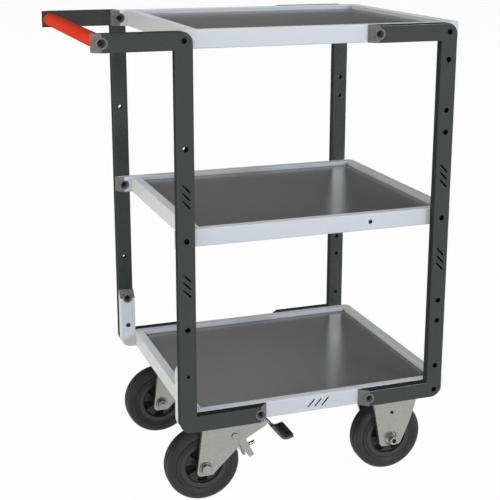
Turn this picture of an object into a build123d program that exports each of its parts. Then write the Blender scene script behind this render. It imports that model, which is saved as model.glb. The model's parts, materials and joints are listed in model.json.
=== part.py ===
"""Shelf trolley: two bent tube side frames, three tray shelves, a grip and four casters.

Millimetres. The floor is Z = 0, X runs along the trolley with the grip at -X, and Y = 0 is
halfway between the two side frames. "Near" is the -Y side and "far" is its mirror image.
"""

import os
from math import cos, radians, sin

from build123d import *

# Tube work of the side frames and shelves
frame_width = 550.0  # over the outer faces of the two side frames
frame_height = 800.0  # underside of the bottom arms to the top of the grip arms
upright_pitch = 550.0  # rear hole line to front hole line
arm_reach = 153.0  # hole line of an upright to the hole line at an arm's end
front_lap = 35.0  # front hole line to the front face of a shelf
tube_height = 35.0
tube_depth = 20.0
tube_wall = 2.0
tube_edge = 2.0  # rounding of the long edges
bend_radius = 23.0  # outside of the bent corners
plan_corner = 14.0  # front corners of a shelf, seen from above
leg_rise = 104.5  # centre of a bottom rail to the screw at the top of its leg
leg_hole_rise = 37.0  # centre of a bottom rail to the spare hole in its leg

# Holes and slots in the tubes
access_radius = 5.5  # holes in the outer wall, wide enough for a screw head
spare_radius = 4.5  # free holes in the inner wall
leg_screw_hole_radius = 3.5  # hole in the outer wall over a leg's screw
corner_to_first_hole = 55.0  # corner hole to the first spare hole of a front upright
corner_to_second_hole = 157.5
corner_to_third_hole = 202.5
slot_length = 23.0
slot_width = 3.5
slot_pitch = 15.6
slot_lean = 47.0  # degrees
slot_count = 3
slot_offset = 89.0  # mid-height of an upright to the middle of a slot group
rail_slot_reach = 288.0  # rear hole line to the slot group of a bottom rail

# End plugs, screws and threaded inserts
plug_gap = 0.1  # between a plug or insert and the tube around it
plug_length = 15.0  # spigot inside the tube, behind the hole line
ring_radius = 11.0
recess_radius = 8.0
seat_back = 8.0  # seat of the screw head to the far face of the tube
screw_radius = 2.95
screw_hole_radius = 3.3
screw_head_radius = 5.0
screw_head_height = 6.0
screw_head_chamfer = 0.8
socket_width = 5.0  # across the flats
socket_depth = 3.0
screw_bite = 8.0  # length of thread past the far face of the tube
insert_radius = 4.5
insert_length = 13.0
thread_gap = 0.05

# Grip between the two handle arms
grip_radius = 14.0
grip_wall = 2.0
grip_insert_length = 20.0

# Shelf panels
panel_drop = 9.0  # top of a rail to the top of the panel
panel_thickness = 8.0
panel_gap = 0.3  # round the edge of a panel
ledge_width = 15.0
ledge_thickness = 2.0
ledge_gap = 1.0  # between the ledges and the caster beams

# Wheels
wheel_radius = 80.0
tyre_width = 40.0
tyre_inner_radius = 52.0
tyre_shoulder = 9.0
tyre_rebate_width = 2.5  # step in the tyre's side next to the rim
tyre_rebate_depth = 2.0
hub_stand = 10.0  # hub past each side of the tyre
hub_radius = 15.0
rim_inset = 1.0  # rim band inside the tyre's side
rim_band = 11.0
rim_edge = 2.0  # rounding of the rim band
spoke_inset = 5.0  # spokes inside the rim band's side
pocket_edge = 2.0  # hub to pocket and pocket to rim band
pocket_half_angle = 18.0  # degrees
pocket_corner = 3.0
web_thickness = 6.0
rear_pocket_turn = 50.0  # degrees, first pocket of a rear wheel at rest
front_pocket_turn = 19.0
spoke_count = 5
bush_wall = 3.0
axle_radius = 6.0
running_gap = 0.05
hub_play = 1.0  # hub to cheek, each side

# Casters
caster_inset = 99.0  # outer face of a side frame to the middle of a wheel
swivel_inset = 92.5  # rear hole line to a kingpin
fixed_inset = 65.5  # front hole line to a fixed axle
swivel_offset = 38.0  # kingpin to axle
plate_length = 110.0
plate_width = 130.0
plate_thickness = 4.0
plate_corner = 8.0
plate_hole_length = 80.0
plate_hole_width = 100.0
plate_hole_radius = 4.5
plate_bolt_radius = 3.95
plate_bolt_head_radius = 6.5
plate_bolt_head_height = 5.0
weld_nut_radius = 7.0
beam_margin = 6.0  # caster plate to the front side of its beam
beam_thickness = 4.0
bolt_cover = 1.5  # top of a weld nut to the top of the beam's flange
wheel_headroom = 16.0  # tyre to crown
crown_thickness = 4.0
crown_back = 43.0  # kingpin to the end of the crown over the wheel
crown_front = 37.0
lower_race_height = 2.0
upper_race_height = 4.0
bearing_gap = 7.0
race_radius = 28.0
race_width = 8.0
ball_play = 0.3  # ball ring to each race
kingpin_radius = 6.0
kingpin_head_radius = 9.0
kingpin_head_height = 2.0
kingpin_nut_radius = 10.0
kingpin_nut_height = 7.0
nut_play = 0.3  # kingpin nut to crown
cheek_thickness = 3.0
cheek_bend = 4.0
cheek_flange = 6.0
flange_rise = 8.0  # hub to the lower end of a swivel cheek's flange
toe_drop = 17.0  # axle to the lower end of a swivel cheek
toe_back = 20.0
toe_front = 14.5
toe_back_corner = 9.0
toe_front_corner = 4.0
boss_radius = 13.5
boss_height = 2.0
axle_head_radius = 10.5
axle_head_height = 7.0
axle_nut_height = 9.0
axle_tip = 2.0  # axle past its nut
shoulder_drop = 28.0  # brake pin to the shoulder of the cheek below it
shoulder_reach = 6.8
fixed_plate_length = 140.0
fixed_straight_reach = 48.0  # axle to the straight edge of a fixed cheek, at its top
fixed_curved_reach = 66.0  # axle to the curved edge, at its top
fixed_belly_reach = 45.0  # the same partway down
fixed_belly_rise = 33.0
fixed_toe_drop = 18.0
fixed_toe_back = 25.0
fixed_toe_front = 22.5
fixed_toe_corner = 9.0
fixed_flange = 8.0
fixed_hole_rise = 62.0
fixed_hole_radius = 4.0
fixed_boss_base = 17.5
fixed_boss_top = 11.0
fixed_boss_height = 9.0
fixed_head_radius = 9.0
fixed_socket_width = 10.0  # across the flats

# Brake
pin_angle = 45.0  # degrees, round the axle
pin_clearance = 10.5  # tyre to the middle of the pin
pin_radius = 4.0
pin_head_radius = 6.5
pin_head_height = 2.5
sleeve_wall = 3.0
sleeve_play = 0.5
lever_thickness = 3.0
lever_clearance = 4.0  # lever to cheek
lever_top = 23.0  # brake pin to the top of the lever
lever_hub_radius = 9.0
lever_arm = 74.0  # brake pin to the bend of the lever
lever_tip_height = 12.0
lever_corner = 3.0
crotch_reach = 27.0
crotch_drop = 14.0
leg_reach = 46.0
leg_drop = 58.0
leg_width = 10.0
pedal_reach = 112.0  # brake pin to the heel of the lever
pedal_drop = 23.5
pedal_width = 70.0
pedal_length = 21.5  # heel to toe
pedal_slope = 12.0  # degrees
pedal_skin = 1.4  # plastic over and under the lever
pedal_corner = 3.0
shin_length = 44.0  # pedal up the sloping arm of the lever
heel_radius = 14.0
ridge_count = 3
ridge_pitch = 4.6
ridge_width = 1.6
ridge_height = 2.0
tongue_length = 15.0  # lever inside the pedal, past the heel
brake_swing = 8.0  # degrees
brake_gap = 1.0  # shoe to tyre with the pedal down
shoe_angle = 10.0  # degrees, round the axle with the pedal down
shoe_half_angle = 7.0
shoe_thickness = 5.0
shoe_width = 34.0
bridge_stand = 7.0  # shoe to bridge
bridge_thickness = 5.0
bridge_height = 16.0
adjuster_radius = 4.0
adjuster_length = 31.0

# Heights worked out from the floor up
axle_z = wheel_radius
crown_low = axle_z + wheel_radius + wheel_headroom
crown_high = crown_low + crown_thickness
plate_low = crown_high + lower_race_height + bearing_gap + upper_race_height
frame_low = plate_low + plate_thickness
tip = tube_height / 2
z_low = frame_low + tip
z_top = frame_low + frame_height - tip
z_mid = (z_low + z_top) / 2
z_leg = z_low + leg_rise
shelf_heights = {"top": z_top, "middle": z_mid, "bottom": z_low}

# Places along the trolley
total_length = tip + arm_reach + upright_pitch + front_lap
x_grip = tip - total_length / 2
x_rear = x_grip + arm_reach
x_front = x_rear + upright_pitch
x_foot = x_rear + arm_reach
x_brace = x_front - arm_reach
x_shelf_end = x_front + front_lap
x_tray_start = x_rear + tip + tube_depth
x_tray_end = x_shelf_end - tube_depth
x_kingpin = x_rear + swivel_inset
x_swivel_axle = x_kingpin - swivel_offset
x_fixed_axle = x_front - fixed_inset

# Places across the near side, from the outer face inwards
y_out = -frame_width / 2
y_mid = y_out + tube_depth
y_in = y_mid + tube_depth
y_wheel = y_out + caster_inset

# Sizes that follow from the ones above
screw_length = seat_back + screw_bite
lip = tube_wall
slope_fall = tube_depth - 2 * tube_wall
beam_height = tube_height - panel_drop - panel_thickness - ledge_thickness - ledge_gap
hub_half = tyre_width / 2 + hub_stand
cheek_in = hub_half + hub_play
cheek_out = cheek_in + cheek_thickness
boss_out = cheek_out + boss_height
fixed_boss_out = cheek_out + fixed_boss_height
lever_half = cheek_in - lever_clearance
pin_x = (wheel_radius + pin_clearance) * cos(radians(pin_angle))
pin_z = (wheel_radius + pin_clearance) * sin(radians(pin_angle))
ends = 1.0  # how far a cutting shape runs past what it cuts


def block(x0, x1, y0, y1, z0, z1):
    """Block between two opposite corners."""
    middle = Pos((x0 + x1) / 2, (y0 + y1) / 2, (z0 + z1) / 2)
    return middle * Box(x1 - x0, y1 - y0, z1 - z0)


def strip(x0, x1, z0, z1):
    """Rectangle between two opposite corners, drawn in X and Z."""
    return Pos((x0 + x1) / 2, (z0 + z1) / 2) * Rectangle(x1 - x0, z1 - z0)


def slab(outline, y0, y1):
    """Thicken an outline drawn in X and Z, from one depth to another."""
    return extrude(Plane.XZ.offset(-y0) * outline, amount=y1 - y0, dir=(0, 1, 0))


def disc(radius, x, z):
    """Round outline drawn in X and Z."""
    return Pos(x, z) * Circle(radius)


def column(radius, z0, z1):
    """Upright round bar on the Z axis."""
    return Pos(0, 0, (z0 + z1) / 2) * Cylinder(radius, z1 - z0)


def bent_strip(start, bend, end, low, high):
    """Strip along two straight runs with a rounded bend, between two offsets to the left of its way."""
    first = (bend - start).normalized()
    second = (end - bend).normalized()
    first_side = Vector(-first.Y, first.X)
    second_side = Vector(-second.Y, second.X)
    corner = (first_side + second_side) * (1 / (1 + first_side.dot(second_side)))
    outline = Polygon(
        start + first_side * low,
        bend + corner * low,
        end + second_side * low,
        end + second_side * high,
        bend + corner * high,
        start + first_side * high,
        align=None,
    )
    for side in (low, high):
        place = bend + corner * side
        outline = fillet(nearest_corner(outline, place.X, place.Y), heel_radius - side)
    return outline


def nearest_corner(shape, x, y, z=0.0):
    """Corner of a shape that lies closest to a point."""
    return shape.vertices().sort_by_distance(Vector(x, y, z))[0]


def far_side(shape):
    """Mirror image of a near-side piece."""
    return mirror(shape, about=Plane.XZ)


def both_sides(shapes):
    """A group of near-side solids with their mirror images."""
    group = []
    for shape in shapes:
        group.extend(shape.solids())
        group.extend(far_side(shape).solids())
    return Compound(group)


def save(name, shape):
    """Write one piece to its own file."""
    export_step(shape, f"parts/{name}.step")


def save_pair(name, near_shape):
    """Write a near-side piece and its mirror image."""
    save(f"near_{name}", near_shape)
    save(f"far_{name}", far_side(near_shape))


def tube_end(x, y, z, tip_way, depth_way):
    """Frame of an end plug: X towards the tip, Y into the tube from the face the plug shows on."""
    return Plane((x, y, z), x_dir=tip_way, z_dir=Vector(*tip_way).cross(Vector(*depth_way))).location


inwards = (0, 1, 0)
outwards = (0, -1, 0)
back = (-1, 0, 0)
forth = (1, 0, 0)
grip_end = tube_end(x_grip, y_out, z_top, back, inwards)
foot_end = tube_end(x_foot, y_out, z_low, forth, inwards)
top_brace_end = tube_end(x_brace, y_out, z_top, back, inwards)
low_brace_end = tube_end(x_brace, y_out, z_low, back, inwards)
rail_ends = {
    "top": tube_end(x_rear, y_in, z_top, back, outwards),
    "middle": tube_end(x_rear, y_in, z_mid, back, outwards),
    "bottom": tube_end(x_rear, y_in, z_leg, (0, 0, 1), outwards),
}
plug_places = [grip_end, foot_end, top_brace_end, low_brace_end, *rail_ends.values()]
front_screw_places = [tube_end(x_front, y_out, z, forth, inwards) for z in shelf_heights.values()]


# Tube work

def hollow_tube(outline, cavity, y0, y1):
    """Tube with rounded long edges, from its outline and that of its cavity."""
    body = slab(outline, y0, y1)
    long_edges = body.faces().filter_by(Axis.Y).edges()
    body = fillet(long_edges, tube_edge)
    return body - slab(cavity, y0 + tube_wall, y1 - tube_wall)


def cut_tube_end(tube, place):
    """Cut a tube's end on the slant and notch its wall for the plug's ring."""
    wedge = Polygon(
        (0, -ends),
        (0, lip),
        (tip, lip + slope_fall),
        (tip + ends, lip + slope_fall),
        (tip + ends, -ends),
        align=None,
    )
    height = tube_height / 2 + ends
    tube -= place * extrude(wedge, amount=height, both=True)
    tube -= place * slab(Circle(ring_radius + plug_gap), -ends, lip)
    return tube - place * slab(Circle(screw_hole_radius), 0, tube_depth + ends)


def wall_holes(tube, radius, centres, y0, y1):
    """Drill round holes through one wall of a tube."""
    for x, z in centres:
        tube -= slab(disc(radius, x, z), y0 - ends, y1 + ends)
    return tube


def slot_group(x, z, step_x, step_z, lean):
    """Leaning slots in a row, drawn in X and Z."""
    group = Sketch()
    for number in range(slot_count):
        shift = (number - (slot_count - 1) / 2) * slot_pitch
        place = Pos(x + shift * step_x, z + shift * step_z)
        group += place * Rot(0, 0, lean) * SlotOverall(slot_length, slot_width)
    return group


def handle_frame_outline(inset, overrun):
    """Z-shaped outline: grip arm at the top, upright, bottom arm."""
    half = tip - inset
    arm = strip(x_grip - tip - overrun, x_rear + half, z_top - half, z_top + half)
    upright = strip(x_rear - half, x_rear + half, z_low - half, z_top + half)
    foot = strip(x_rear - half, x_foot + tip + overrun, z_low - half, z_low + half)
    outline = arm + upright + foot
    corners = [
        nearest_corner(outline, x_rear + half, z_top + half),
        nearest_corner(outline, x_rear - half, z_low - half),
    ]
    return fillet(corners, bend_radius - inset)


def front_frame_outline(inset, overrun):
    """C-shaped outline: two arms and the upright that joins them."""
    half = tip - inset
    outline = strip(x_front - half, x_front + half, z_low - half, z_top + half)
    for z in (z_low, z_top):
        outline += strip(x_brace - tip - overrun, x_front + half, z - half, z + half)
    corners = [
        nearest_corner(outline, x_front + half, z_top + half),
        nearest_corner(outline, x_front + half, z_low - half),
    ]
    return fillet(corners, bend_radius - inset)


def upright_slots(frame, x):
    """Cut the two slot groups into the outer wall of an upright."""
    for z in (z_mid - slot_offset, z_mid + slot_offset):
        group = slot_group(x, z, 0, 1, -slot_lean)
        frame -= slab(group, y_out - ends, y_out + tube_wall + ends)
    return frame


def handle_frame():
    """Near Z-shaped frame with its holes and slots."""
    frame = hollow_tube(handle_frame_outline(0, 0), handle_frame_outline(tube_wall, ends), y_out, y_mid)
    frame = cut_tube_end(frame, grip_end)
    frame = cut_tube_end(frame, foot_end)
    spare = [(x_rear, z_low + corner_to_third_hole), (x_rear, z_top - corner_to_third_hole)]
    shelf_screws = [(x_rear, z_top), (x_rear, z_mid)]
    leg_screw = [(x_rear, z_leg)]
    frame = wall_holes(frame, access_radius, spare + shelf_screws, y_out, y_out + tube_wall)
    frame = wall_holes(frame, leg_screw_hole_radius, leg_screw, y_out, y_out + tube_wall)
    frame = wall_holes(frame, spare_radius, spare, y_mid - tube_wall, y_mid)
    inserts_here = shelf_screws + leg_screw
    frame = wall_holes(frame, insert_radius + plug_gap, inserts_here, y_mid - tube_wall, y_mid)
    return upright_slots(frame, x_rear)


def front_frame():
    """Near C-shaped frame with its holes and slots."""
    frame = hollow_tube(front_frame_outline(0, 0), front_frame_outline(tube_wall, ends), y_out, y_mid)
    frame = cut_tube_end(frame, top_brace_end)
    frame = cut_tube_end(frame, low_brace_end)
    spare = []
    for drop in (corner_to_first_hole, corner_to_second_hole, corner_to_third_hole):
        spare += [(x_front, z_low + drop), (x_front, z_top - drop)]
    screws = [(x_front, z) for z in shelf_heights.values()]
    frame = wall_holes(frame, access_radius, spare + screws, y_out, y_out + tube_wall)
    frame = wall_holes(frame, spare_radius, spare, y_mid - tube_wall, y_mid)
    frame = wall_holes(frame, screw_hole_radius, screws, y_mid - tube_wall, y_mid)
    return upright_slots(frame, x_front)


def rail_outline(level, inset, overrun):
    """Side rail of a shelf; the bottom one has a leg up the rear upright."""
    half = tip - inset
    z = shelf_heights[level]
    x_end = x_shelf_end - inset
    if level != "bottom":
        return strip(x_rear - tip - overrun, x_end, z - half, z + half)
    outline = strip(x_rear - half, x_end, z - half, z + half)
    outline += strip(x_rear - half, x_rear + half, z - half, z_leg + tip + overrun)
    return fillet(nearest_corner(outline, x_rear - half, z - half), bend_radius - inset)


def round_front_corner(level, radius, inset):
    """Waste outside the rounded front corner of a side rail, seen from above."""
    x_end = x_shelf_end - inset
    y_end = y_mid + inset
    waste = block(x_end - radius, x_end + ends, y_end - ends, y_end + radius, 0, tube_height + 2 * ends)
    waste -= Pos(x_end - radius, y_end + radius, tube_height / 2) * Cylinder(radius, 2 * tube_height)
    return Pos(0, 0, shelf_heights[level] - tip - ends) * waste


def side_rail(level):
    """Near side rail of a shelf."""
    body = slab(rail_outline(level, 0, 0), y_mid, y_in)
    body -= round_front_corner(level, plan_corner, 0)
    front_edges = body.edges().filter_by(lambda edge: edge.center().X > x_front)
    other_edges = body.edges() - front_edges
    long_edges = front_edges - front_edges.filter_by(Axis.Z) + other_edges - other_edges.filter_by(Axis.Y)
    body = fillet(long_edges, tube_edge)
    cavity = slab(rail_outline(level, tube_wall, ends), y_mid + tube_wall, y_in - tube_wall)
    cavity -= round_front_corner(level, plan_corner - tube_wall, tube_wall)
    body = cut_tube_end(body - cavity, rail_ends[level])
    screws = {
        "top": [x_brace, x_front],
        "middle": [x_front],
        "bottom": [x_foot, x_brace, x_front],
    }[level]
    centres = [(x, shelf_heights[level]) for x in screws]
    body = wall_holes(body, insert_radius + plug_gap, centres, y_mid, y_mid + tube_wall)
    if level == "middle":
        body = wall_holes(body, spare_radius, [(x_brace, z_mid)], y_mid, y_mid + tube_wall)
    if level == "bottom":
        body = wall_holes(body, access_radius, [(x_rear, z_low + leg_hole_rise)], y_in - tube_wall, y_in)
        group = slot_group(x_rear + rail_slot_reach, z_low, 1, 0, slot_lean)
        body -= slab(group, y_mid - ends, y_mid + tube_wall + ends)
    return body


def end_rail(level, x0):
    """Cross rail between the side rails, open at both ends."""
    z = shelf_heights[level]
    body = block(x0, x0 + tube_depth, y_in, -y_in, z - tip, z + tip)
    body = fillet(body.edges().filter_by(Axis.Y), tube_edge)
    half = tip - tube_wall
    x1 = x0 + tube_depth - tube_wall
    return body - block(x0 + tube_wall, x1, y_in - ends, ends - y_in, z - half, z + half)


# Shelf panels

def panel(level):
    """Loose board that fills a tray."""
    top = shelf_heights[level] + tip - panel_drop
    x0 = x_tray_start + panel_gap
    x1 = x_tray_end - panel_gap
    y0 = y_in + panel_gap
    return block(x0, x1, y0, -y0, top - panel_thickness, top)


def ledges(level):
    """Four strips on the rails that carry a panel."""
    high = shelf_heights[level] + tip - panel_drop - panel_thickness
    low = high - ledge_thickness
    side = block(x_tray_start, x_tray_end, y_in, y_in + ledge_width, low, high)
    y0 = y_in + ledge_width
    rear = block(x_tray_start, x_tray_start + ledge_width, y0, -y0, low, high)
    front = block(x_tray_end - ledge_width, x_tray_end, y0, -y0, low, high)
    return [side, far_side(side), rear, front]


def caster_beam(x0, x1, near_holes):
    """Channel under the bottom shelf that carries two caster plates."""
    beam = block(x0, x1, y_in, -y_in, frame_low, frame_low + beam_height)
    beam -= block(
        x0 + beam_thickness,
        x1 - beam_thickness,
        y_in - ends,
        ends - y_in,
        frame_low + beam_thickness,
        frame_low + beam_height + ends,
    )
    nut_top = frame_low + beam_height - bolt_cover
    for hole_x, hole_y in near_holes:
        for y in (hole_y, -hole_y):
            beam += Pos(hole_x, y, 0) * column(weld_nut_radius, frame_low + beam_thickness, nut_top)
            thread = column(plate_bolt_radius + thread_gap, frame_low - ends, nut_top + ends)
            beam -= Pos(hole_x, y, 0) * thread
    return beam


# End plugs, screws and inserts

def hexagon(radius):
    """Six-sided outline of a given corner radius, with a corner at the top."""
    return RegularPolygon(radius, 6, rotation=30)


def hexagon_across(width):
    """Six-sided outline of a given width across its flats."""
    return RegularPolygon(width / 2, 6, major_radius=False)


def end_plug():
    """Wedge that closes a slanted tube end, with a recess for the screw head."""
    far_wall = tube_depth - tube_wall - plug_gap
    side = tip - tube_wall - plug_gap
    cover = Polygon((0, 0), (tip, slope_fall), (tip, slope_fall + lip), (0, lip), align=None)
    spigot = Polygon(
        (-plug_length, lip + plug_gap),
        (-plug_length, far_wall),
        (tip * (far_wall - lip) / slope_fall, far_wall),
        (0, lip / 2),
        (0, lip + plug_gap),
        align=None,
    )
    plug = extrude(cover, amount=tip, both=True)
    plug += extrude(spigot, amount=side, both=True)
    plug += slab(Circle(ring_radius), 0, lip + plug_gap + ends)
    plug -= slab(Circle(recess_radius), -ends, tube_depth - seat_back)
    return plug - slab(Circle(screw_hole_radius), 0, tube_depth)


def socket_screw(seat):
    """Socket head screw along Y, with the underside of its head at a given depth."""
    screw = slab(Circle(screw_head_radius), seat - screw_head_height, seat)
    top_edge = screw.edges().filter_by(GeomType.CIRCLE).sort_by(Axis.Y)[0]
    screw = chamfer(top_edge, screw_head_chamfer)
    screw += slab(Circle(screw_radius), seat, seat + screw_length)
    socket = hexagon_across(socket_width)
    return screw - slab(socket, seat - screw_head_height - ends, seat - screw_head_height + socket_depth)


def threaded_insert():
    """Insert behind the far face of a tube, along Y."""
    ring = Circle(insert_radius) - Circle(screw_radius + thread_gap)
    return slab(ring, tube_depth, tube_depth + insert_length)


def grip_insert():
    """Threaded end of the grip tube."""
    body = slab(Circle(grip_radius - grip_wall - plug_gap), tube_depth, tube_depth + grip_insert_length)
    return body - slab(Circle(screw_radius + thread_gap), tube_depth - ends, tube_depth + screw_bite + ends)


def grip_tube():
    """Grip between the inner faces of the two handle arms."""
    ring = Circle(grip_radius) - Circle(grip_radius - grip_wall)
    return slab(Pos(x_grip, z_top) * ring, y_mid, -y_mid)


# Wheels, turning about Y at the origin

def turned(outline):
    """Turn an outline drawn in radius and Y about the Y axis."""
    return revolve(outline, Axis.Y)


def ring_block(inner, outer, half):
    """Plain ring about the Y axis."""
    return slab(Circle(outer) - Circle(inner), -half, half)


def tyre():
    """Solid rubber tyre with rounded shoulders and a step next to the rim on each side."""
    half = tyre_width / 2
    middle = (wheel_radius + tyre_inner_radius) / 2
    section = Pos(middle, 0) * Rectangle(wheel_radius - tyre_inner_radius, tyre_width)
    shoulders = [nearest_corner(section, wheel_radius, half), nearest_corner(section, wheel_radius, -half)]
    section = fillet(shoulders, tyre_shoulder)
    for side in (half, -half):
        step = Rectangle(2 * tyre_rebate_width, 2 * tyre_rebate_depth)
        section -= Pos(tyre_inner_radius, side) * step
    return turned(section)


def rim(pocket_turn):
    """Rim with a long hub and pockets between its spokes on both sides."""
    outer = tyre_inner_radius - running_gap
    band_half = tyre_width / 2 - rim_inset
    spoke_half = band_half - spoke_inset
    bore = axle_radius + running_gap + bush_wall + running_gap
    body = ring_block(outer - rim_band, outer, band_half)
    body = fillet(body.edges().filter_by(GeomType.CIRCLE), rim_edge)
    body += ring_block(bore, outer - rim_band / 2, spoke_half)
    body += ring_block(bore, hub_radius, hub_half)
    reach = 2 * outer
    angle = radians(pocket_half_angle)
    wedge = Polygon(
        (0, 0),
        (reach, -reach * sin(angle) / cos(angle)),
        (reach, reach * sin(angle) / cos(angle)),
        align=None,
    )
    pocket = (Circle(outer - rim_band - pocket_edge) - Circle(hub_radius + pocket_edge)) & wedge
    pocket = fillet(pocket.vertices(), pocket_corner)
    for number in range(spoke_count):
        turn = Rot(0, -pocket_turn - 360 / spoke_count * number, 0)
        body -= turn * slab(pocket, web_thickness / 2, spoke_half + ends)
        body -= turn * slab(pocket, -spoke_half - ends, -web_thickness / 2)
    return body


def bush():
    """Plain bearing in the hub, running on the axle."""
    return ring_block(axle_radius + running_gap, axle_radius + running_gap + bush_wall, hub_half)


def axle_bolt(head, seat):
    """Axle between the outer faces of a fork, with a head on the outer side."""
    bolt = slab(head, -seat - axle_head_height, -seat)
    return bolt + slab(Circle(axle_radius), -seat, seat + axle_nut_height + axle_tip)


def axle_nut(seat):
    """Nut on the inner end of an axle."""
    ring = hexagon(axle_head_radius) - Circle(axle_radius + thread_gap)
    return slab(ring, seat, seat + axle_nut_height)


# Caster plates and forks, with the axle on Y at the origin or the kingpin on Z at the origin

def plate_holes():
    """Centres of the four holes of a caster plate, about its middle."""
    x = plate_hole_length / 2
    y = plate_hole_width / 2
    return [(x, y), (x, -y), (-x, y), (-x, -y)]


def caster_plate(length):
    """Flat plate with four bolt holes."""
    outline = RectangleRounded(length, plate_width, plate_corner)
    for x, y in plate_holes():
        outline -= Pos(x, y) * Circle(plate_hole_radius)
    return Pos(0, 0, plate_low) * extrude(outline, amount=plate_thickness)


def race(height, z0):
    """Flat ring that the balls run on."""
    outer = race_radius + race_width / 2
    inner = race_radius - race_width / 2
    return column(outer, z0, z0 + height) - column(inner, z0 - ends, z0 + height + ends)


def swivel_plate():
    """Top plate of a swivel caster, with the upper race under it."""
    plate = caster_plate(plate_length) + race(upper_race_height, plate_low - upper_race_height)
    plate -= column(kingpin_radius + running_gap, plate_low - ends, frame_low + ends)
    head_low = frame_low - kingpin_head_height - plug_gap
    return plate - column(kingpin_head_radius + plug_gap, head_low, frame_low + ends)


def kingpin():
    """Pivot of a swivel caster, with its head let into the plate."""
    pin = column(kingpin_head_radius, frame_low - kingpin_head_height, frame_low)
    nut_low = crown_low - nut_play - kingpin_nut_height
    return pin + column(kingpin_radius, nut_low - ends, frame_low - kingpin_head_height)


def kingpin_nut():
    """Nut that holds the crown up."""
    ring = RegularPolygon(kingpin_nut_radius, 6) - Circle(kingpin_radius + thread_gap)
    low = crown_low - nut_play - kingpin_nut_height
    return Pos(0, 0, low) * extrude(ring, amount=kingpin_nut_height)


def ball_ring():
    """Ring that stands for the balls between the two races."""
    centre = crown_high + lower_race_height + bearing_gap / 2
    return Pos(0, 0, centre) * Torus(race_radius, bearing_gap / 2 - ball_play)


def swivel_cheek_outline():
    """Side of a swivel fork, about its axle."""
    top = crown_high - axle_z
    outline = Polygon(
        (swivel_offset - crown_back, top),
        (-toe_back, -toe_drop),
        (toe_front, -toe_drop),
        (pin_x + shoulder_reach, pin_z - shoulder_drop),
        (swivel_offset + crown_front, top),
        align=None,
    )
    outline = fillet(nearest_corner(outline, -toe_back, -toe_drop), toe_back_corner)
    return fillet(nearest_corner(outline, toe_front, -toe_drop), toe_front_corner)


def swivel_fork():
    """Pressed fork: a crown on the kingpin and two cheeks that hold the axle and the brake pin."""
    rear = swivel_offset - crown_back
    front = swivel_offset + crown_front
    low = crown_low - axle_z
    top = crown_high - axle_z
    outline = swivel_cheek_outline()
    fork = slab(outline, -cheek_out, cheek_out)
    fork -= slab(strip(-wheel_radius, front + ends, -wheel_radius, low), -cheek_in, cheek_in)
    fork = fillet(fork.edges().filter_by(Axis.X).group_by(Axis.Z)[-1], cheek_bend)
    lean = (rear + toe_back) / (top + toe_drop)
    z_fold = hub_radius + flange_rise
    x_fold = rear - lean * (top - z_fold)
    x_crown = rear - lean * (top - low)
    fold = Polygon(
        (x_crown, low),
        (x_fold, z_fold),
        (x_fold + cheek_thickness, z_fold),
        (x_crown + cheek_thickness, low),
        align=None,
    )
    for side in (-1, 1):
        y0, y1 = sorted((side * (cheek_in - cheek_flange), side * cheek_in))
        fork += slab(fold, y0, y1)
        y0, y1 = sorted((side * cheek_out, side * boss_out))
        fork += slab(Circle(boss_radius), y0, y1)
    fork -= slab(Circle(axle_radius + running_gap), -boss_out - ends, boss_out + ends)
    fork -= slab(disc(pin_radius + running_gap, pin_x, pin_z), -boss_out, boss_out)
    fork += Pos(swivel_offset, 0, -axle_z) * race(lower_race_height, crown_high)
    return fork - Pos(swivel_offset, 0, 0) * column(kingpin_radius + running_gap, low - ends, top + ends)


def fixed_cheek_outline(inset):
    """Side of a fixed fork, about its axle: a straight edge, a short toe and a curved edge."""
    top = plate_low - axle_z
    low = inset - fixed_toe_drop
    straight = Polyline(
        (fixed_curved_reach - inset, top),
        (inset - fixed_straight_reach, top),
        (inset - fixed_toe_back, low),
        (fixed_toe_front - inset, low),
    )
    curved = ThreePointArc(
        (fixed_toe_front - inset, low),
        (fixed_belly_reach - inset, fixed_belly_rise),
        (fixed_curved_reach - inset, top),
    )
    outline = make_face([*straight.edges(), curved])
    toe = [nearest_corner(outline, x, low) for x in (inset - fixed_toe_back, fixed_toe_front - inset)]
    return fillet(toe, fixed_toe_corner - inset)


def fixed_cheek():
    """Near cheek of a fixed fork, dished, with a tapered boss round the axle."""
    cheek = slab(fixed_cheek_outline(0), -cheek_out, fixed_flange - cheek_in)
    rolled = cheek.faces().sort_by(Axis.Y)[0].edges().sort_by(Axis.Z)[:-1]
    cheek = fillet(rolled, cheek_bend)
    cheek -= slab(fixed_cheek_outline(cheek_thickness), -cheek_in, fixed_flange - cheek_in + ends)
    height = cheek_thickness + fixed_boss_height
    boss = Cone(fixed_boss_base, fixed_boss_top, height)
    return cheek + Pos(0, -cheek_in - height / 2, 0) * Rot(90, 0, 0) * boss


def fixed_fork():
    """Fork of a fixed caster: two like cheeks under a plate, the far one turned half round."""
    cheek = fixed_cheek()
    fork = Pos(0, 0, -axle_z) * caster_plate(fixed_plate_length)
    fork += cheek + Rot(0, 0, 180) * cheek
    fork -= slab(Circle(axle_radius + running_gap), -fixed_boss_out - ends, fixed_boss_out + ends)
    return fork - slab(disc(fixed_hole_radius, 0, fixed_hole_rise), -fixed_boss_out, fixed_boss_out)


def plate_bolt():
    """Bolt from under a caster plate into the beam's weld nut."""
    bolt = column(plate_bolt_radius, plate_low, frame_low + beam_height)
    head = RegularPolygon(plate_bolt_head_radius, 6)
    low = plate_low - plate_bolt_head_height
    return bolt + Pos(0, 0, low) * extrude(head, amount=plate_bolt_head_height)


# Brake, with its pin on Y at the origin

lever_bend = Vector(lever_arm, lever_top)
lever_heel = Vector(pedal_reach, -pedal_drop)


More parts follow.
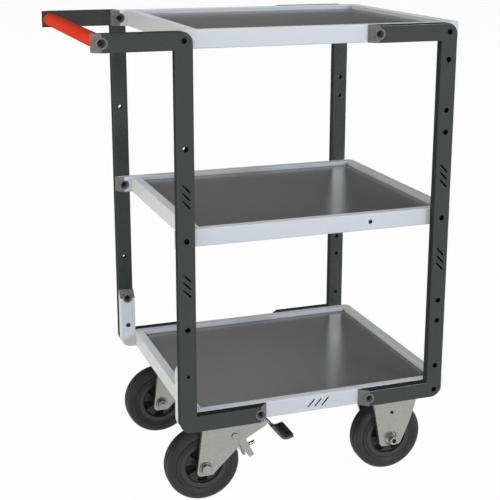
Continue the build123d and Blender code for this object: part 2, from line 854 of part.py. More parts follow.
def brake_pin():
    """Pin through both cheeks that the lever turns on."""
    pin = slab(Circle(pin_radius), -cheek_out, cheek_out)
    pin += slab(Circle(pin_head_radius), -cheek_out - pin_head_height, -cheek_out)
    return pin + slab(Circle(pin_head_radius), cheek_out, cheek_out + pin_head_height)


def lever_side_outline():
    """Side plate of the lever: hub, upper arm and leg."""
    outline = Polygon(
        (lever_hub_radius, lever_top),
        (lever_arm, lever_top),
        (lever_arm, lever_top - lever_tip_height),
        (crotch_reach, -crotch_drop),
        (leg_reach, -leg_drop + leg_width / 2),
        (leg_reach - leg_width, -leg_drop),
        (0, -lever_hub_radius),
        (-lever_hub_radius, 0),
        align=None,
    )
    return fillet(outline.vertices(), lever_corner) + Circle(lever_hub_radius)


def along_tongue(length, height):
    """Place past the heel of the lever, along its tongue and above it, drawn in X and Z."""
    lean = radians(pedal_slope)
    x = pedal_reach + length * cos(lean) - height * sin(lean)
    return Vector(x, length * sin(lean) + height * cos(lean) - pedal_drop)


def braked_to_rest(shape):
    """Turn a piece drawn with the pedal down back to its place at rest."""
    return Rot(0, -brake_swing, 0) * Pos(-pin_x, 0, -pin_z) * shape


def adjuster_bar(radius, start, length):
    """Round bar that points at the axle, drawn with the pedal down about the axle."""
    middle = wheel_radius + brake_gap + start + length / 2
    return Rot(0, -shoe_angle, 0) * Pos(middle, 0, 0) * Rot(0, 90, 0) * Cylinder(radius, length)


def lever():
    """Pressed lever: two side plates, the top that joins them and reaches to the pedal, and a bridge."""
    outline = lever_side_outline()
    plates = slab(outline, -lever_half, lever_thickness - lever_half)
    plates += slab(outline, lever_half - lever_thickness, lever_half)
    top = strip(lever_hub_radius, lever_arm, lever_top - lever_thickness, lever_top)
    top += bent_strip(lever_bend, lever_heel, along_tongue(tongue_length, 0), -lever_thickness, 0)
    body = plates + slab(top, -lever_half, lever_half)
    sleeve_half = cheek_in - sleeve_play
    body += slab(Circle(pin_radius + running_gap + sleeve_wall), -sleeve_half, sleeve_half)
    body -= slab(Circle(pin_radius + running_gap), -sleeve_half - ends, sleeve_half + ends)
    x0 = wheel_radius + brake_gap + shoe_thickness + bridge_stand
    half = bridge_height / 2
    bridge = block(x0, x0 + bridge_thickness, -lever_half, lever_half, -half, half)
    body += braked_to_rest(Rot(0, -shoe_angle, 0) * bridge)
    thread = adjuster_bar(adjuster_radius + thread_gap, shoe_thickness, adjuster_length)
    return body - braked_to_rest(thread)


def brake_shoe():
    """Curved shoe on the adjusting bolt that passes through the lever's bridge."""
    inner = wheel_radius + brake_gap
    spread = radians(shoe_half_angle)
    reach = 2 * wheel_radius
    wedge = Polygon((0, 0), (reach, -reach * sin(spread)), (reach, reach * sin(spread)), align=None)
    pad = (Circle(inner + shoe_thickness) - Circle(inner)) & wedge
    pad = slab(pad, -shoe_width / 2, shoe_width / 2)
    shoe = Rot(0, -shoe_angle, 0) * pad
    shoe += adjuster_bar(adjuster_radius, shoe_thickness - ends, adjuster_length)
    return braked_to_rest(shoe)


def pedal():
    """Plastic foot pedal that sleeves the end of the lever, with ridges along its toe."""
    half = pedal_width / 2
    arm = (lever_bend - lever_heel).normalized()
    shin_top = lever_heel + arm * shin_length
    toe = along_tongue(pedal_length, 0)
    low = -lever_thickness - pedal_skin
    body = slab(bent_strip(shin_top, lever_heel, toe, low, pedal_skin), -half, half)
    toe_corners = body.faces().sort_by(Axis.X)[-1].edges() - body.edges().filter_by(Axis.Y)
    body = fillet(toe_corners, pedal_corner)
    slot_low = -lever_thickness - plug_gap
    slot = bent_strip(lever_bend, lever_heel, along_tongue(tongue_length, 0), slot_low, plug_gap)
    body -= slab(slot, -lever_half - plug_gap, lever_half + plug_gap)
    ridge_half = half - pedal_corner
    for number in range(ridge_count):
        reach = pedal_length - ridge_pitch * number
        corners = [(reach - ridge_width, 0), (reach, 0), (reach, 1), (reach - ridge_width, 1)]
        points = [along_tongue(length, pedal_skin + up * ridge_height) for length, up in corners]
        body += slab(Polygon(*points, align=None), -ridge_half, ridge_half)
    return body


# Write every piece to its own file

os.makedirs("parts", exist_ok=True)

save_pair("handle_frame", handle_frame())
save_pair("front_frame", front_frame())
save("handle_tube", grip_tube())

plug_seat = tube_depth - seat_back
front_seat = tube_depth - tube_wall
screws = [place * socket_screw(plug_seat) for place in plug_places]
screws += [place * socket_screw(front_seat) for place in front_screw_places]
insert_places = plug_places[1:] + front_screw_places
inserts = [place * threaded_insert() for place in insert_places]
inserts.append(grip_end * grip_insert())
save("end_plugs", both_sides([place * end_plug() for place in plug_places]))
save("frame_screws", both_sides(screws))
save("threaded_inserts", both_sides(inserts))

ledge_group = []
for level in shelf_heights:
    rail = side_rail(level)
    save(f"{level}_near_rail", rail)
    save(f"{level}_far_rail", far_side(rail))
    save(f"{level}_rear_rail", end_rail(level, x_rear + tip))
    save(f"{level}_front_rail", end_rail(level, x_tray_end))
    save(f"{level}_panel", panel(level))
    ledge_group.extend(ledges(level))
save("panel_ledges", Compound(ledge_group))

bolts = []
rear_reach = plate_length / 2 + beam_margin
front_reach = fixed_plate_length / 2 + beam_margin
for name, x, x0, x1 in (
    ("rear_caster_beam", x_kingpin, x_tray_start, x_kingpin + rear_reach),
    ("front_caster_beam", x_fixed_axle, x_fixed_axle - front_reach, x_fixed_axle + front_reach),
):
    centres = [(x + dx, y_wheel + dy) for dx, dy in plate_holes()]
    save(name, caster_beam(x0, x1, centres))
    bolts += [Pos(bolt_x, bolt_y, 0) * plate_bolt() for bolt_x, bolt_y in centres]
save("caster_bolts", both_sides(bolts))

at_kingpin = Pos(x_kingpin, y_wheel, 0)
save("swivel_plates", both_sides([at_kingpin * swivel_plate()]))
save("kingpins", both_sides([at_kingpin * kingpin(), at_kingpin * kingpin_nut()]))
save("swivel_ball_rings", both_sides([at_kingpin * ball_ring()]))

at_swivel_axle = Pos(x_swivel_axle, y_wheel, axle_z)
at_fixed_axle = Pos(x_fixed_axle, y_wheel, axle_z)
at_brake_pin = Pos(x_swivel_axle + pin_x, y_wheel, axle_z + pin_z)
save_pair("swivel_fork", at_swivel_axle * swivel_fork())
save_pair("swivel_axle", at_swivel_axle * axle_bolt(hexagon(axle_head_radius), boss_out))
save_pair("swivel_axle_nut", at_swivel_axle * axle_nut(boss_out))
save_pair("fixed_fork", at_fixed_axle * fixed_fork())
socket_head = Circle(fixed_head_radius) - hexagon_across(fixed_socket_width)
save("fixed_axles", both_sides([at_fixed_axle * axle_bolt(socket_head, fixed_boss_out)]))
save("fixed_axle_nuts", both_sides([at_fixed_axle * axle_nut(fixed_boss_out)]))
for name, place, pocket_turn in (
    ("rear", at_swivel_axle, rear_pocket_turn),
    ("front", at_fixed_axle, front_pocket_turn),
):
    save_pair(f"{name}_rim", place * rim(pocket_turn))
    save_pair(f"{name}_tyre", place * tyre())
    save_pair(f"{name}_bush", place * bush())
save_pair("brake_pin", at_brake_pin * brake_pin())
save_pair("brake_lever", at_brake_pin * lever())
save_pair("brake_shoe", at_brake_pin * brake_shoe())
save_pair("brake_pedal", at_brake_pin * pedal())
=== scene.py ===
"""Looks of the shelf trolley: finishes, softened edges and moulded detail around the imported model.

Metres. X runs along the trolley with the grip at -X, the near side is -Y and the floor is Z = 0.
"""

import json
from math import cos, pi, radians, sin

import bmesh
import bpy
from mathutils import Matrix, Vector


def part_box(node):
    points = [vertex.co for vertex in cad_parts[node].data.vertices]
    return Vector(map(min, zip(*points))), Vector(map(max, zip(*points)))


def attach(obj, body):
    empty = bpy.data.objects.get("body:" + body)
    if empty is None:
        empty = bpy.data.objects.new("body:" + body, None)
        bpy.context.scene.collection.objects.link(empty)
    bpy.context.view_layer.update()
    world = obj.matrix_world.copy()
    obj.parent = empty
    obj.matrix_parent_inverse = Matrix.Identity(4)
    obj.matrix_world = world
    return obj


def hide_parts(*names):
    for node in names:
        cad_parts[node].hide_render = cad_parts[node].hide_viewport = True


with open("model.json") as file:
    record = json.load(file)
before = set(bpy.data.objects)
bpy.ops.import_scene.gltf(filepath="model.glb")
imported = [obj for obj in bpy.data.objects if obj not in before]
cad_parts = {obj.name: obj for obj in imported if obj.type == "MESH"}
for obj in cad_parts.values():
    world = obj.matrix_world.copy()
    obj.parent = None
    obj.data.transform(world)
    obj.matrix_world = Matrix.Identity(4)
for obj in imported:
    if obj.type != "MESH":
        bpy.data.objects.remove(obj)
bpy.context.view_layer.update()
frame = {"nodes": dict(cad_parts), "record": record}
mm = 0.001

# Camera, set to the photograph's viewing angle
camera_place = Vector((-0.7936, -2.2923, 1.1990))
camera_yaw = 19.799  # degrees from +Y towards +X
camera_pitch = 14.813  # degrees down
camera_roll = 0.15  # degrees
camera_lens = 82.0  # mm
camera_shift = (-0.0110, -0.0636)

# World, brightest low down on the near side
horizon_level = 0.60
zenith_level = 0.25
zenith_rise = 0.7  # upward part of a direction that has the zenith's level
back_share = 0.18  # share of the light that is left on the far side
back_start = -0.2  # +Y part of a direction where the light starts to fall
back_end = 0.6  # +Y part of a direction where it has fallen to that share

# Floor
floor_half = 300.0
floor_albedo = 0.82
floor_white_share = 0.97  # share of plain white that the floor shows past its shadows

# Lamps
lamp_target = (0.0, 0.0, 0.5)
low_target = (0.0, 0.0, 0.3)
plain_light = (1.0, 1.0, 1.0)
cool_light = (0.97, 0.99, 1.0)
blue_light = (0.92, 0.97, 1.0)
warm_light = (1.0, 0.91, 0.75)

# Finishes
noise_low, noise_high = 0.3, 0.7  # noise keeps mostly between these
painted_sheen_level = 0.34  # specular level of the painted sheen on the frames' wide sides and rounded edges
flat_face = 0.985  # X or Z part of the normal on a frame's narrow flat faces
round_edge = 0.9  # the same where its rounded edges have the painted sheen in full

# Softened edges of the CAD nodes
weld_distance = 0.00001
flat_angle = 0.05  # degrees, faces closer than this are one flat
sharp_angle = 35.0  # degrees, edges past this are rounded off
edge_segments = 2
edge_widths = {  # mm, by the ending of a node's name
    "end_plugs": 0.9,
    "swivel_axle": 0.7,
    "fixed_axles": 0.7,
    "axle_nut": 0.6,
    "brake_lever": 0.8,
    "brake_shoe": 0.5,
    "brake_pin": 0.7,
    "brake_pedal": 0.6,
    "rim": 0.7,
    "swivel_plates": 0.6,
    "caster_beam": 0.6,
}

# Tyres
tyre_inner = 0.052
tyre_steps = 128
tyre_shoulder = 11.0 * mm
shoulder_steps = 10
rib_depth = 0.6 * mm
crown = 0.5 * mm  # fall of the tread towards its sides
grooves = 5  # on each half of the tread
first_groove, groove_pitch = 0.28, 0.16  # shares of the flat half of the tread
groove_depth = 0.9 * mm
groove_half = 0.7 * mm
lip_height = 6.5 * mm  # of the lip's edge over the rim
lip_profile = (  # mm, out from the lip's edge and in from the tyre's side
    (6.0, 0.35), (4.0, 0.9), (2.0, 1.6), (0.8, 0.0), (0.0, 0.0), (-0.6, 0.2), (-4.2, 2.0),
)
bead_inset = 2.0 * mm
bore_inset = 4.0 * mm


# Material helpers

def new_material(name):
    """Empty procedural material with its shader."""
    made = bpy.data.materials.new(name)
    made.use_nodes = True
    return made, made.node_tree, made.node_tree.nodes["Principled BSDF"]


def noise(tree, scale, detail=2.0, roughness=0.5):
    """Noise that stays with the piece."""
    place = tree.nodes.new("ShaderNodeTexCoord")
    texture = tree.nodes.new("ShaderNodeTexNoise")
    texture.inputs["Scale"].default_value = scale
    texture.inputs["Detail"].default_value = detail
    texture.inputs["Roughness"].default_value = roughness
    tree.links.new(place.outputs["Object"], texture.inputs["Vector"])
    return texture.outputs["Fac"]


def cells(tree, scale):
    """Random grey for each of many small cells."""
    place = tree.nodes.new("ShaderNodeTexCoord")
    texture = tree.nodes.new("ShaderNodeTexVoronoi")
    texture.inputs["Scale"].default_value = scale
    tree.links.new(place.outputs["Object"], texture.inputs["Vector"])
    grey = tree.nodes.new("ShaderNodeRGBToBW")
    tree.links.new(texture.outputs["Color"], grey.inputs["Color"])
    return grey.outputs["Val"]


def shades(tree, factor, dark, light, low=noise_low, high=noise_high):
    """Colour that runs from dark to light with a factor."""
    ramp = tree.nodes.new("ShaderNodeValToRGB")
    ramp.color_ramp.elements[0].position = low
    ramp.color_ramp.elements[1].position = high
    ramp.color_ramp.elements[0].color = (*dark, 1.0)
    ramp.color_ramp.elements[1].color = (*light, 1.0)
    tree.links.new(factor, ramp.inputs["Fac"])
    return ramp.outputs["Color"]


def mapped(tree, value, start, end, low, high, kind="LINEAR"):
    """Number that runs from low to high as a value goes from start to end."""
    node = tree.nodes.new("ShaderNodeMapRange")
    node.interpolation_type = kind
    node.inputs["From Min"].default_value = start
    node.inputs["From Max"].default_value = end
    node.inputs["To Min"].default_value = low
    node.inputs["To Max"].default_value = high
    tree.links.new(value, node.inputs["Value"])
    return node.outputs["Result"]


def spread(tree, factor, low, high):
    """Number that runs from low to high with a noise."""
    return mapped(tree, factor, noise_low, noise_high, low, high)


def multiplier(tree, factor=1.0):
    """Node that multiplies its first input by a factor, or by what is linked to its second."""
    node = tree.nodes.new("ShaderNodeMath")
    node.operation = "MULTIPLY"
    node.inputs[1].default_value = factor
    return node


def bumped(tree, shader, height, depth, edge=0.0):
    """Relief of a given depth, and edges that catch the light as rounded ones do."""
    bump = tree.nodes.new("ShaderNodeBump")
    if edge:
        rounded = tree.nodes.new("ShaderNodeBevel")
        rounded.inputs["Radius"].default_value = edge
        tree.links.new(rounded.outputs["Normal"], bump.inputs["Normal"])
    bump.inputs["Distance"].default_value = depth
    bump.inputs["Strength"].default_value = 1.0
    tree.links.new(height, bump.inputs["Height"])
    tree.links.new(bump.outputs["Normal"], shader.inputs["Normal"])


def openness(tree, reach, low, high, hidden, open_air):
    """Number that runs from one value in hollows to another in the open."""
    hollow = tree.nodes.new("ShaderNodeAmbientOcclusion")
    hollow.inputs["Distance"].default_value = reach
    return mapped(tree, hollow.outputs["AO"], low, high, hidden, open_air)


def dimmed(tree, colour, factor):
    """Colour scaled by a factor that changes over the surface."""
    scaled = tree.nodes.new("ShaderNodeVectorMath")
    scaled.operation = "SCALE"
    tree.links.new(colour, scaled.inputs[0])
    tree.links.new(factor, scaled.inputs["Scale"])
    return scaled.outputs["Vector"]


def tinted(colour, factor):
    """Colour made darker or lighter."""
    return tuple(min(1.0, channel * factor) for channel in colour)


def textured_paint(name, colour, contrast, rough, grain, depth):
    """Powder coat: fine speckle, orange peel, slow changes of gloss, and painted shade darkening its
    hollows and the insides of its tubes.
    """
    made, tree, shader = new_material(name)
    speckle = noise(tree, grain, detail=3.0, roughness=0.65)
    paint = shades(tree, speckle, tinted(colour, 1 - contrast), tinted(colour, 1 + contrast))
    # Painted shade: ambient occlusion darkens the paint colour in hollows and inside tubes
    painted_hollow_shade = openness(tree, reach=0.03, low=0.15, high=0.4, hidden=0.12, open_air=1.0)
    tree.links.new(dimmed(tree, paint, painted_hollow_shade), shader.inputs["Base Color"])
    patches = noise(tree, scale=14.0, detail=4.0)
    gloss = spread(tree, patches, low=rough - 0.05, high=rough + 0.05)
    tree.links.new(gloss, shader.inputs["Roughness"])
    peel = noise(tree, grain * 1.6, detail=2.0, roughness=0.6)
    bumped(tree, shader, peel, depth)
    return made, shader


def painted_sheen_mask(tree):
    """Painted sheen mask: one on a frame's wide sides and rounded edges, zero on its narrow flat
    faces, which are left dark.
    """
    place = tree.nodes.new("ShaderNodeTexCoord")
    size = tree.nodes.new("ShaderNodeVectorMath")
    size.operation = "ABSOLUTE"
    tree.links.new(place.outputs["Normal"], size.inputs[0])
    split = tree.nodes.new("ShaderNodeSeparateXYZ")
    tree.links.new(size.outputs["Vector"], split.inputs["Vector"])
    largest = tree.nodes.new("ShaderNodeMath")
    largest.operation = "MAXIMUM"
    tree.links.new(split.outputs["X"], largest.inputs[0])
    tree.links.new(split.outputs["Z"], largest.inputs[1])
    return mapped(tree, largest.outputs[0], flat_face, round_edge, 0.0, 1.0)


# Finishes

def frame_paint():
    """Anthracite powder coat of the side frames, with a painted sheen by face direction that lights
    its wide sides and rounded edges.
    """
    made, shader = textured_paint(
        "frame_paint", (0.033, 0.038, 0.037), contrast=0.35, rough=0.21, grain=480.0, depth=0.00001
    )
    tree = made.node_tree
    # Painted sheen: specular only on the wide sides and rounded edges, which leaves the narrow flat
    # faces dark
    painted_shine = multiplier(tree, painted_sheen_level)
    tree.links.new(painted_sheen_mask(tree), painted_shine.inputs[0])
    tree.links.new(painted_shine.outputs[0], shader.inputs["Specular IOR Level"])
    return made


def rail_paint():
    """Light grey powder coat of the shelf rails."""
    made, shader = textured_paint(
        "rail_paint", (0.503, 0.539, 0.580), contrast=0.03, rough=0.4, grain=1100.0, depth=0.00002
    )
    shader.inputs["Specular IOR Level"].default_value = 0.5
    return made


def grip_paint():
    """Red-orange powder coat of the grip, matt."""
    made, shader = textured_paint(
        "grip_paint", (0.61, 0.046, 0.021), contrast=0.08, rough=0.4, grain=1000.0, depth=0.00006
    )
    shader.inputs["Specular IOR Level"].default_value = 0.0
    return made


def laminate():
    """Dark satin laminate with a fine grain."""
    made, tree, shader = new_material("laminate")
    fine = noise(tree, scale=700.0, detail=3.0, roughness=0.65)
    board = shades(tree, fine, dark=(0.056, 0.056, 0.059), light=(0.111, 0.111, 0.114))
    tree.links.new(board, shader.inputs["Base Color"])
    shader.inputs["Specular IOR Level"].default_value = 1.0
    shader.inputs["IOR"].default_value = 1.62
    shader.inputs["Roughness"].default_value = 0.25
    pebble = noise(tree, scale=1200.0, detail=2.0, roughness=0.6)
    bumped(tree, shader, pebble, depth=0.000005)
    return made


def plug_plastic():
    """Grey plastic with a coarse speckled grain."""
    made, tree, shader = new_material("plug_plastic")
    grain = noise(tree, scale=620.0, detail=4.0, roughness=0.75)
    colour = shades(tree, grain, dark=(0.070, 0.070, 0.075), light=(0.229, 0.229, 0.243))
    tree.links.new(colour, shader.inputs["Base Color"])
    shader.inputs["Specular IOR Level"].default_value = 0.2
    tree.links.new(spread(tree, grain, low=0.42, high=0.62), shader.inputs["Roughness"])
    relief = noise(tree, scale=900.0, detail=3.0, roughness=0.7)
    bumped(tree, shader, relief, depth=0.00015)
    return made


def screw_steel():
    """Blackened steel of the socket screws."""
    made, tree, shader = new_material("screw_steel")
    wear = noise(tree, scale=500.0, detail=3.0, roughness=0.6)
    colour = shades(tree, wear, dark=(0.008, 0.008, 0.009), light=(0.020, 0.020, 0.021))
    tree.links.new(colour, shader.inputs["Base Color"])
    shader.inputs["Specular IOR Level"].default_value = 0.15
    tree.links.new(spread(tree, wear, low=0.26, high=0.40), shader.inputs["Roughness"])
    return made


def zinc():
    """Zinc plate with a faint spangle, and painted shade darkening its corners and crevices."""
    made, tree, shader = new_material("zinc")
    spangle = cells(tree, scale=320.0)
    dark, light = (0.335, 0.34, 0.322), (0.375, 0.38, 0.36)
    colour = shades(tree, spangle, dark, light, low=0.1, high=0.9)
    # Painted shade: ambient occlusion darkens the zinc's colour in corners and around heads
    painted_corner_shade = openness(tree, reach=0.008, low=0.45, high=0.9, hidden=0.25, open_air=1.0)
    tree.links.new(dimmed(tree, colour, painted_corner_shade), shader.inputs["Base Color"])
    shader.inputs["Metallic"].default_value = 0.8
    wear = noise(tree, scale=60.0, detail=5.0, roughness=0.6)
    tree.links.new(spread(tree, wear, low=0.20, high=0.28), shader.inputs["Roughness"])
    waves = noise(tree, scale=160.0, detail=2.0)
    bumped(tree, shader, waves, depth=0.00001, edge=0.0006)
    return made


def tyre_rubber():
    """Dark rubber, a little dusty."""
    made, tree, shader = new_material("tyre_rubber")
    dust = noise(tree, scale=45.0, detail=6.0, roughness=0.65)
    colour = shades(tree, dust, dark=(0.016, 0.017, 0.017), light=(0.028, 0.029, 0.028))
    tree.links.new(colour, shader.inputs["Base Color"])
    shader.inputs["Specular IOR Level"].default_value = 0.3
    tree.links.new(spread(tree, dust, low=0.34, high=0.46), shader.inputs["Roughness"])
    relief = noise(tree, scale=1400.0, detail=2.0)
    bumped(tree, shader, relief, depth=0.00006)
    return made


def dark_plastic(name, level, rough):
    """Black moulded plastic with a fine grain."""
    made, tree, shader = new_material(name)
    grain = noise(tree, scale=800.0, detail=3.0, roughness=0.6)
    colour = shades(tree, grain, dark=(level * 0.85,) * 3, light=(level * 1.2,) * 3)
    tree.links.new(colour, shader.inputs["Base Color"])
    gloss = spread(tree, grain, low=rough - 0.06, high=rough + 0.06)
    tree.links.new(gloss, shader.inputs["Roughness"])
    bumped(tree, shader, grain, depth=0.00005)
    return made


def rim_plastic():
    """Black moulded plastic whose shine is cut in its pockets, a painted shade that darkens them."""
    made = dark_plastic("rim_plastic", level=0.022, rough=0.34)
    tree = made.node_tree
    # Painted shade: ambient occlusion cuts the specular level down in the pockets, so they look dark
    painted_shine = openness(tree, reach=0.03, low=0.45, high=0.95, hidden=0.0, open_air=0.5)
    tree.links.new(painted_shine, tree.nodes["Principled BSDF"].inputs["Specular IOR Level"])
    return made


def bush_plastic():
    """Pale bearing plastic."""
    made, tree, shader = new_material("bush_plastic")
    grain = noise(tree, scale=300.0, detail=2.0)
    colour = shades(tree, grain, dark=(0.46, 0.45, 0.41), light=(0.55, 0.54, 0.49))
    tree.links.new(colour, shader.inputs["Base Color"])
    shader.inputs["Roughness"].default_value = 0.45
    return made


finishes = {
    "frame_paint": frame_paint(),
    "rail_paint": rail_paint(),
    "grip_paint": grip_paint(),
    "laminate": laminate(),
    "plug_plastic": plug_plastic(),
    "screw_steel": screw_steel(),
    "zinc": zinc(),
    "tyre_rubber": tyre_rubber(),
    "rim_plastic": rim_plastic(),
    "bush_plastic": bush_plastic(),
    "pedal_plastic": dark_plastic("pedal_plastic", level=0.06, rough=0.6),
}


# Finishes of the CAD nodes, by the record's slots

slot_of = {part["node"]: part["material_slot"] for part in frame["record"]["subparts"]}
bodies = frame["record"]["behaviour"]["bodies"]
body_of = {node: body for body, nodes in bodies.items() for node in nodes}
for node, piece in frame["nodes"].items():
    piece.data.materials.clear()
    piece.data.materials.append(finishes[slot_of[node]])


# Pieces that stand for CAD nodes

def new_piece(name, shape, *nodes):
    """Object of a finished shape that stands for CAD nodes and moves as they do."""
    mesh = bpy.data.meshes.new(name)
    shape.to_mesh(mesh)
    shape.free()
    mesh.shade_smooth()
    piece = bpy.data.objects.new(name, mesh)
    bpy.context.scene.collection.objects.link(piece)
    slot = slot_of[nodes[0]]
    mesh.materials.append(finishes[slot])
    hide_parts(*nodes)
    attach(piece, body_of[nodes[0]])
    return piece


def softened(node, width):
    """Copy of a CAD node with its sharp edges rounded off."""
    shape = bmesh.new()
    shape.from_mesh(frame["nodes"][node].data)
    bmesh.ops.remove_doubles(shape, verts=shape.verts, dist=weld_distance)
    bmesh.ops.dissolve_limit(
        shape, angle_limit=radians(flat_angle), verts=shape.verts, edges=shape.edges
    )
    piece = new_piece(f"soft_{node}", shape, node)
    bevel = piece.modifiers.new("edges", "BEVEL")
    bevel.width = width
    bevel.segments = edge_segments
    bevel.limit_method = "ANGLE"
    bevel.angle_limit = radians(sharp_angle)
    bevel.harden_normals = True


def tyre_section(radius, inner, half):
    """Half of a tyre's section from mid-tread to the rim, as (radius, side) pairs."""
    bend = half - tyre_shoulder
    points = [(radius, 0.0)]
    for number in range(grooves):
        side = bend * (first_groove + groove_pitch * number)
        rise = radius - crown * (side / half) ** 2
        points += [(rise, side - groove_half), (rise - groove_depth, side - groove_half / 2)]
        points += [(rise - groove_depth, side + groove_half / 2), (rise, side + groove_half)]
    for number in range(shoulder_steps + 1):
        angle = radians(90.0 * number / shoulder_steps)
        drop = crown * (bend / half) ** 2 * (1 - number / shoulder_steps)
        bow = tyre_shoulder - rib_depth * (number % 2)
        reach = radius - tyre_shoulder + bow * cos(angle) - drop
        points.append((reach, bend + bow * sin(angle)))
    lip = inner + lip_height
    points += [(lip + out * mm, half - dip * mm) for out, dip in lip_profile]
    points.append((inner, half - bead_inset))
    return points


def detailed_tyre(node):
    """Turned tyre with fine grooves round its tread and a lip next to the rim."""
    low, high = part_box(node)
    middle = (low + high) / 2
    radius = (high.z - low.z) / 2
    half = (high.y - low.y) / 2
    side = tyre_section(radius, tyre_inner, half)
    outline = [(reach, -across) for reach, across in reversed(side[1:])] + side
    outline += [(tyre_inner, half - bore_inset), (tyre_inner, -half + bore_inset)]
    shape = bmesh.new()
    rows = []
    for step in range(tyre_steps):
        angle = 2 * pi * step / tyre_steps
        row = []
        for reach, across in outline:
            x = middle.x + reach * cos(angle)
            z = middle.z + reach * sin(angle)
            row.append(shape.verts.new((x, middle.y + across, z)))
        rows.append(row)
    for step in range(tyre_steps):
        ahead = rows[(step + 1) % tyre_steps]
        for number in range(len(outline)):
            after = (number + 1) % len(outline)
            painted_corner_shade = (rows[step][number], rows[step][after], ahead[after], ahead[number])
            shape.faces.new(painted_corner_shade)
    bmesh.ops.recalc_face_normals(shape, faces=shape.faces)
    piece = new_piece(f"turned_{node}", shape, node)
    piece.data.set_sharp_from_angle(angle=radians(sharp_angle))


for node in frame["nodes"]:
    for ending, width in edge_widths.items():
        if node.endswith(ending):
            softened(node, width * mm)
    if node.endswith("tyre"):
        detailed_tyre(node)


# Stage

def seen_directly(tree):
    """One for rays from the camera, from gloss and through clear pieces, zero for diffuse ones."""
    path = tree.nodes.new("ShaderNodeLightPath")
    total = path.outputs["Is Camera Ray"]
    for name in ("Is Glossy Ray", "Is Transmission Ray"):
        add = tree.nodes.new("ShaderNodeMath")
        add.operation = "ADD"
        add.use_clamp = True
        tree.links.new(total, add.inputs[0])
        tree.links.new(path.outputs[name], add.inputs[1])
        total = add.outputs[0]
    return total


def add_floor():
    """Pale floor that shows white past the object's shadows."""
    painted_corner_shade = [(-floor_half, -floor_half, 0), (floor_half, -floor_half, 0)]
    painted_corner_shade += [(floor_half, floor_half, 0), (-floor_half, floor_half, 0)]
    mesh = bpy.data.meshes.new("floor")
    mesh.from_pydata(painted_corner_shade, [], [(0, 1, 2, 3)])
    floor = bpy.data.objects.new("floor", mesh)
    bpy.context.scene.collection.objects.link(floor)
    made, tree, shader = new_material("floor")
    tree.nodes.remove(shader)
    matt = tree.nodes.new("ShaderNodeBsdfDiffuse")
    matt.inputs["Color"].default_value = (floor_albedo, floor_albedo, floor_albedo, 1)
    white = tree.nodes.new("ShaderNodeEmission")
    mix = tree.nodes.new("ShaderNodeMixShader")
    share = multiplier(tree, floor_white_share)
    tree.links.new(seen_directly(tree), share.inputs[0])
    tree.links.new(share.outputs[0], mix.inputs["Fac"])
    tree.links.new(matt.outputs["BSDF"], mix.inputs[1])
    tree.links.new(white.outputs["Emission"], mix.inputs[2])
    tree.links.new(mix.outputs["Shader"], tree.nodes["Material Output"].inputs["Surface"])
    floor.data.materials.append(made)


def set_world():
    """Soft studio light, brightest low down on the near side."""
    world = bpy.data.worlds.new("studio")
    bpy.context.scene.world = world
    world.use_nodes = True
    tree = world.node_tree
    way = tree.nodes.new("ShaderNodeTexCoord")
    split = tree.nodes.new("ShaderNodeSeparateXYZ")
    tree.links.new(way.outputs["Generated"], split.inputs["Vector"])
    up, back = split.outputs["Z"], split.outputs["Y"]
    level = multiplier(tree)
    height = mapped(tree, up, 0.0, zenith_rise, horizon_level, zenith_level, "SMOOTHSTEP")
    tree.links.new(height, level.inputs[0])
    side = mapped(tree, back, back_start, back_end, 1.0, back_share, "SMOOTHSTEP")
    tree.links.new(side, level.inputs[1])
    soft = tree.nodes["Background"]
    soft.inputs["Color"].default_value = (1, 1, 1, 1)
    tree.links.new(level.outputs[0], soft.inputs["Strength"])


def add_lamp(name, place, size, power, colour=plain_light, target=lamp_target, mirrored=True):
    """Soft square lamp turned to a target; shiny faces mirror it unless told not to."""
    data = bpy.data.lights.new(name, "AREA")
    data.shape = "SQUARE"
    data.size = size
    data.energy = power
    data.color = colour
    lamp = bpy.data.objects.new(name, data)
    lamp.location = place
    lamp.rotation_euler = (Vector(target) - Vector(place)).to_track_quat("-Z", "Y").to_euler()
    lamp.visible_glossy = mirrored
    bpy.context.scene.collection.objects.link(lamp)
    return lamp


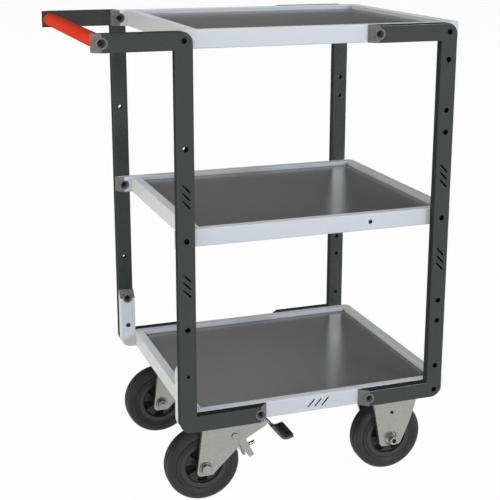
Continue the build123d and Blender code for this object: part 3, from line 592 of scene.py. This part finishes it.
def link_lamp(lamp, ending, state):
    """Let a lamp light only the nodes with a name's ending (INCLUDE) or all but them (EXCLUDE)."""
    takers = bpy.data.collections.new(lamp.name + "_takers")
    for node, piece in frame["nodes"].items():
        if node.endswith(ending):
            takers.objects.link(piece)
    for taker in takers.collection_objects:
        taker.light_linking.link_state = state
    lamp.light_linking.receiver_collection = takers


def add_lamps():
    """Lamps round the object, some of them for a few nodes alone."""
    add_lamp("fill", (-2.6, -7.6, 1.1), size=5.0, power=304, colour=cool_light, mirrored=False)

    # The key lamp, which the shelf panels take without mirroring it
    key_values = {"place": (3.0, -5.7, 2.45), "size": 0.9, "power": 138}
    link_lamp(add_lamp("key", **key_values), "panel", "EXCLUDE")
    link_lamp(add_lamp("panel_key", **key_values, mirrored=False), "panel", "INCLUDE")

    # The far front upright's shine, which the shelf panels mirror as a light streak
    streak = add_lamp("streak", (3.0, -5.7, 3.05), size=1.3, power=330, colour=blue_light)
    streak.visible_diffuse = False
    link_lamp(streak, "far_front_frame", "INCLUDE")

    add_lamp("side", (-6.6, 0.6, 1.8), size=3.4, power=290, colour=warm_light, mirrored=False)
    add_lamp("rim", (5.0, -1.5, 4.6), size=0.9, power=52, target=low_target)
    add_lamp("back", (1.2, 6.0, 6.0), size=4.0, power=150)

    # The rails' pale top faces
    top = add_lamp("top", (-0.6, -1.2, 6.5), size=2.0, power=150, mirrored=False)
    link_lamp(top, "rail", "INCLUDE")


def add_camera():
    """Camera with the photograph's view."""
    yaw, pitch, roll = radians(camera_yaw), radians(camera_pitch), radians(camera_roll)
    ahead = Vector((sin(yaw) * cos(pitch), cos(yaw) * cos(pitch), -sin(pitch)))
    level = Vector((cos(yaw), -sin(yaw), 0))
    above = level.cross(ahead)
    right = level * cos(roll) + above * sin(roll)
    up = above * cos(roll) - level * sin(roll)
    turn = Matrix((right, up, -ahead)).transposed().to_4x4()
    data = bpy.data.cameras.new("camera")
    data.lens = camera_lens
    data.shift_x, data.shift_y = camera_shift
    data.clip_end = 2 * floor_half
    camera = bpy.data.objects.new("camera", data)
    camera.matrix_world = Matrix.Translation(camera_place) @ turn
    bpy.context.scene.collection.objects.link(camera)
    bpy.context.scene.camera = camera


add_floor()
set_world()
add_lamps()
add_camera()
bpy.context.scene.view_settings.view_transform = "Standard"
